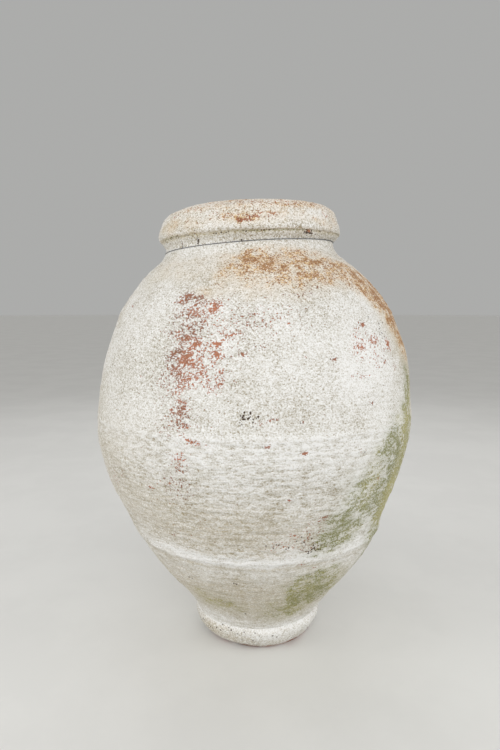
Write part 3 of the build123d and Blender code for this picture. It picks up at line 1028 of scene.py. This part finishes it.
class JAR_OT_lay_floor_slab(bpy.types.Operator):
    """Lays the floor slab, with the thrower's spiral on top and string marks underneath."""

    bl_idname = "jar.lay_floor_slab"
    bl_label = "Lay Floor Slab"

    def execute(self, context):
        under, top, pole = 30, 34, 0.002
        edge = under + len(SLAB_EDGE)
        level, radius = np.concatenate([
            [(SLAB_UNDER[0], r) for r in np.linspace(pole, SLAB_UNDER[1], under)], SLAB_EDGE,
            [(SLAB_TOP[0], r) for r in np.linspace(SLAB_TOP[1], pole, top)]]).T
        middle = OUTLINE["foot"][-1][2]
        points, angle, _ = circles(level, radius, 0 * radius + middle, 0 * radius, 256)
        reach = np.broadcast_to(radius[:, None], angle.shape)
        fade = np.clip((SLAB_EDGE[-1][1] - reach) / SLAB_SPIRAL_FADE, 0, 1)
        swirl = np.cos(reach / SLAB_SPIRAL_PITCH * 2 * np.pi + np.radians(angle))
        spiral = context.scene.jar_shape.inner_rings * swirl * fade
        far = np.hypot(points[..., 0] - STRING_PIVOT, points[..., 1])
        arcs = STRING_DEPTH * np.cos(far / STRING_PITCH * 2 * np.pi)
        points[edge:, :, 2] += spiral[edge:]
        points[:under - 2, :, 2] -= arcs[:under - 2]
        piece = grid_object("floor_slab_clay", points, (raw_clay(context.scene),))
        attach(piece, "root")
        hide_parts("base_disc")
        return {"FINISHED"}


class JAR_OT_roll_rim(bpy.types.Operator):
    """Rolls the rim: the bevel over the wire, the groove, the bead and the mouth."""

    bl_idname = "jar.roll_rim"
    bl_label = "Roll Rim"

    def execute(self, context):
        lip = [
            (LIP_DROP - LIP_ARC * math.cos(turn), LIP_RADIUS - LIP_ARC * math.sin(turn),
             LIP_OFFSET) for turn in np.linspace(0, np.pi / 2, 6)[1:]
        ]
        crown = [(RIM_TOP - drop, *place, RIM_LEAN) for drop, *place in (*RIM_CROWN, *lip)]
        outer = np.concatenate([face_rows("rim", 600, count=68), crown])
        down = np.linspace(BORE_TOP, NECK_JOINT, 36)
        bore = np.interp(down, BORE_LEVELS, BORE_RADII)
        shift = np.interp(down, (NECK_JOINT, BORE_LEVELS[-1]), (NECK_OFFSET, LIP_OFFSET))
        inner = np.stack([down, bore, shift, lean_at(down)], axis=-1)
        seam = NECK_RADIUS - WALL_WIDTHS[-1] / 2
        neck = wedge_rows(NECK_JOINT, seam, NECK_OFFSET, NECK_LEAN)
        materials = limewash(context.scene, "rim"), limewash(context.scene, "throat")
        clay_piece("rim_collar_clay", "rim_collar", outer, inner[:0], inner, neck, materials,
                   context.scene.jar_shape, fade_rows=6)
        return {"FINISHED"}


class JAR_OT_tie_wire(bpy.types.Operator):
    """Ties the wire round the neck and twists its two ends together at the back."""

    bl_idname = "jar.tie_wire"
    bl_label = "Tie Wire"

    def execute(self, context):
        wire = context.scene.jar_wire
        right = np.array([math.cos(NECK_LEAN), 0.0, math.sin(NECK_LEAN)])
        up = np.array([-math.sin(NECK_LEAN), 0.0, math.cos(NECK_LEAN)])
        back = np.array([0.0, 1.0, 0.0])
        middle = np.array([NECK_OFFSET, 0.0, NECK_JOINT]) - up * wire.radius
        reach = NECK_RADIUS + wire.radius + wire.clearance
        leave = TIE_LEAVE / reach
        axis = back * math.cos(TIE_DROOP) - up * math.sin(TIE_DROOP)
        rise = np.cross(right, axis)
        root = middle + back * (reach + TIE_STAND)
        gap = wire.radius + TIE_GAP

        def strand(side):
            """A helix about the twist's axis, at the given side of it."""
            steps = int(wire.twist_turns * TWIST_STEPS) + 1
            turns = np.linspace(0, wire.twist_turns, steps)[:, None]
            around = 2 * np.pi * turns
            spoke = (right * np.cos(around) + rise * np.sin(around)) * (side * gap)
            return root + axis * (wire.twist_pitch * turns) + spoke

        def lead(side):
            """A cubic Hermite curve from the ring's tangent to the start of the twist."""
            sideways, backward = math.sin(leave * side), math.cos(leave * side)
            start = middle + (right * sideways + back * backward) * reach
            end = strand(side)[0]
            heading = (right * backward - back * sideways) * -side * TIE_CURVE
            arrive = (axis * wire.twist_pitch + rise * (side * 2 * np.pi * gap)) * 0.8
            t = np.linspace(0, 1, 14)[:, None]
            return (
                (2 * t ** 3 - 3 * t ** 2 + 1) * start + (t ** 3 - 2 * t ** 2 + t) * heading
                + (3 * t ** 2 - 2 * t ** 3) * end + (t ** 3 - t ** 2) * arrive
            )

        # The ring stands off the relief of the neck behind it, less so towards the tie
        around = np.linspace(leave, 2 * np.pi - leave, COLUMNS)[:, None]
        row = ([v] for v in (NECK_JOINT - RELIEF_DROP, NECK_RADIUS, NECK_OFFSET, NECK_LEAN))
        neck, angles, levels = circles(*row, COLUMNS)
        stand = hand_relief(neck, levels, context.scene.jar_shape, 0 * angles)[0]
        high = np.max([np.roll(stand, step) for step in range(-8, 9)], axis=0)
        follow = np.interp(180 - np.degrees(around), angles[0], high)
        follow = follow * np.minimum(1, (1 + np.cos(around)) * -0.5 + 1.05)
        ring = middle + (right * np.sin(around) + back * np.cos(around)) * (reach + follow)
        path = np.concatenate([
            strand(1)[::-1], lead(1)[::-1][1:], ring[1:-1], lead(-1)[:-1], strand(-1),
        ])
        ahead = np.gradient(path, axis=0)
        ahead /= np.linalg.norm(ahead, axis=1, keepdims=True)
        side = np.cross(ahead, up)
        side /= np.linalg.norm(side, axis=1, keepdims=True)
        over = np.cross(side, ahead)
        angle = np.linspace(0, 2 * np.pi, WIRE_SIDES + 1)[None, :-1, None]
        points = path[:, None] + wire.radius * (
            side[:, None] * np.cos(angle) - over[:, None] * np.sin(angle))
        steel = shared(bpy.data.materials, "Dull Wire", wire_material)
        piece = grid_object("neck_wire_steel", points, (steel,))
        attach(piece, "root")
        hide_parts("neck_wire")
        return {"FINISHED"}


class JAR_OT_set_stage(bpy.types.Operator):
    """Sets the plain pale floor, the soft lamps and the camera at the photograph's angle."""

    bl_idname = "jar.set_stage"
    bl_label = "Set Stage"

    def execute(self, context):
        stage = context.scene.jar_stage
        link = context.scene.collection.objects.link
        radius = np.array(FLOOR_RADII)
        points, _, _ = circles(0 * radius - stage.drop, radius, 0 * radius, 0 * radius, 96)
        index = np.arange(points.size // 3).reshape(points.shape[:2])
        turned = np.roll(index, -1, 1)
        quads = np.stack([turned[:-1], turned[1:], index[1:], index[:-1]], axis=-1)
        floor = bpy.data.meshes.new("floor")
        floor.from_pydata(points.reshape(-1, 3).tolist(), [],
                          quads.reshape(-1, 4).tolist() + [index[-1].tolist()])
        floor.materials.append(floor_material("Pale Floor", tuple(stage.floor)))
        plate = bpy.data.objects.new("floor", floor)
        link(plate)

        # Each lamp: power, width and height, place, and the level on the jar's axis it faces
        for name, watts, size, place, aim in (
            ("key_lamp", stage.key_power, (3.2, 2.4), (0.35, -3.0, 1.9), 0.45),
            ("left_lamp", stage.left_power, (1.6, 2.4), (-3.0, -1.2, 1.5), 0.5),
            ("right_lamp", stage.side_power, (1.6, 2.4), (3.0, -1.0, 1.5), 0.5),
            ("back_lamp", stage.side_power, (2.6, 1.8), (0.0, 3.0, 2.6), 0.5),
        ):
            data = bpy.data.lights.new(name, "AREA")
            data.energy, data.shape, data.spread = watts, "RECTANGLE", stage.spread
            data.size, data.size_y = size
            lamp = bpy.data.objects.new(name, data)
            lamp.location = place
            x, y, z = place
            lamp.rotation_euler = (math.atan2(math.hypot(x, y), z - aim), 0.0, math.atan2(x, -y))
            link(lamp)

        world = bpy.data.worlds.new("Studio")
        world.use_nodes = True
        world.node_tree.nodes.clear()
        g = Graph(world.node_tree)
        path = g.put("LightPath").outputs
        seen = g.math("MAXIMUM", path["Is Camera Ray"], path["Is Glossy Ray"], clamp=True)
        soft = g.put("Background", {"Color": (1.0, 0.99, 0.97, 1.0), "Strength": stage.sky})
        shown = g.put("Background", {"Color": linear(stage.backdrop)})
        mixed = g.put("MixShader", {0: seen, 1: soft.outputs[0], 2: shown.outputs[0]})
        g.put("OutputWorld", {"Surface": mixed.outputs[0]})
        context.scene.world = world

        data = bpy.data.cameras.new("camera")
        data.sensor_fit, data.sensor_height = "VERTICAL", SENSOR_HEIGHT
        data.lens = FOCAL_ROWS / PICTURE_ROWS * SENSOR_HEIGHT
        data.clip_start, data.clip_end = 0.05, 200.0
        camera = bpy.data.objects.new("camera", data)
        camera.location = CAMERA_PLACE
        camera.rotation_euler = (math.radians(90 - CAMERA_DOWN), 0.0, math.radians(CAMERA_LEFT))
        link(camera)
        context.scene.camera = camera
        context.scene.view_settings.view_transform = "Standard"
        return {"FINISHED"}


OPERATORS = (
    JAR_OT_throw_walls, JAR_OT_shape_foot, JAR_OT_lay_floor_slab,
    JAR_OT_roll_rim, JAR_OT_tie_wire, JAR_OT_set_stage,
)


class JAR_PT_panel(bpy.types.Panel):
    """Lists the jar's pieces and its settings in the sidebar."""

    bl_idname = "JAR_PT_panel"
    bl_label = "Olive Jar"
    bl_space_type = "VIEW_3D"
    bl_region_type = "UI"
    bl_category = "Olive Jar"

    def draw(self, context):
        for operator in OPERATORS:
            self.layout.operator(operator.bl_idname)
        for name, group in GROUPS.items():
            box = self.layout.box()
            for setting in group.__annotations__:
                box.prop(getattr(context.scene, name), setting)


GROUPS = {
    "jar_shape": JarShape, "jar_colours": JarColours, "jar_wire": JarWire, "jar_stage": JarStage,
}
CLASSES = tuple(GROUPS.values()) + OPERATORS + (JAR_PT_panel,)


def register():
    for each in CLASSES:
        bpy.utils.register_class(each)
    for name, group in GROUPS.items():
        setattr(bpy.types.Scene, name, PointerProperty(type=group))


def unregister():
    for name in GROUPS:
        delattr(bpy.types.Scene, name)
    for each in reversed(CLASSES):
        bpy.utils.unregister_class(each)


def main():
    register()
    bpy.ops.jar.set_stage()
    bpy.ops.jar.throw_walls()
    bpy.ops.jar.shape_foot()
    bpy.ops.jar.lay_floor_slab()
    bpy.ops.jar.roll_rim()
    bpy.ops.jar.tie_wire()


if __name__ == "__main__":
    main()
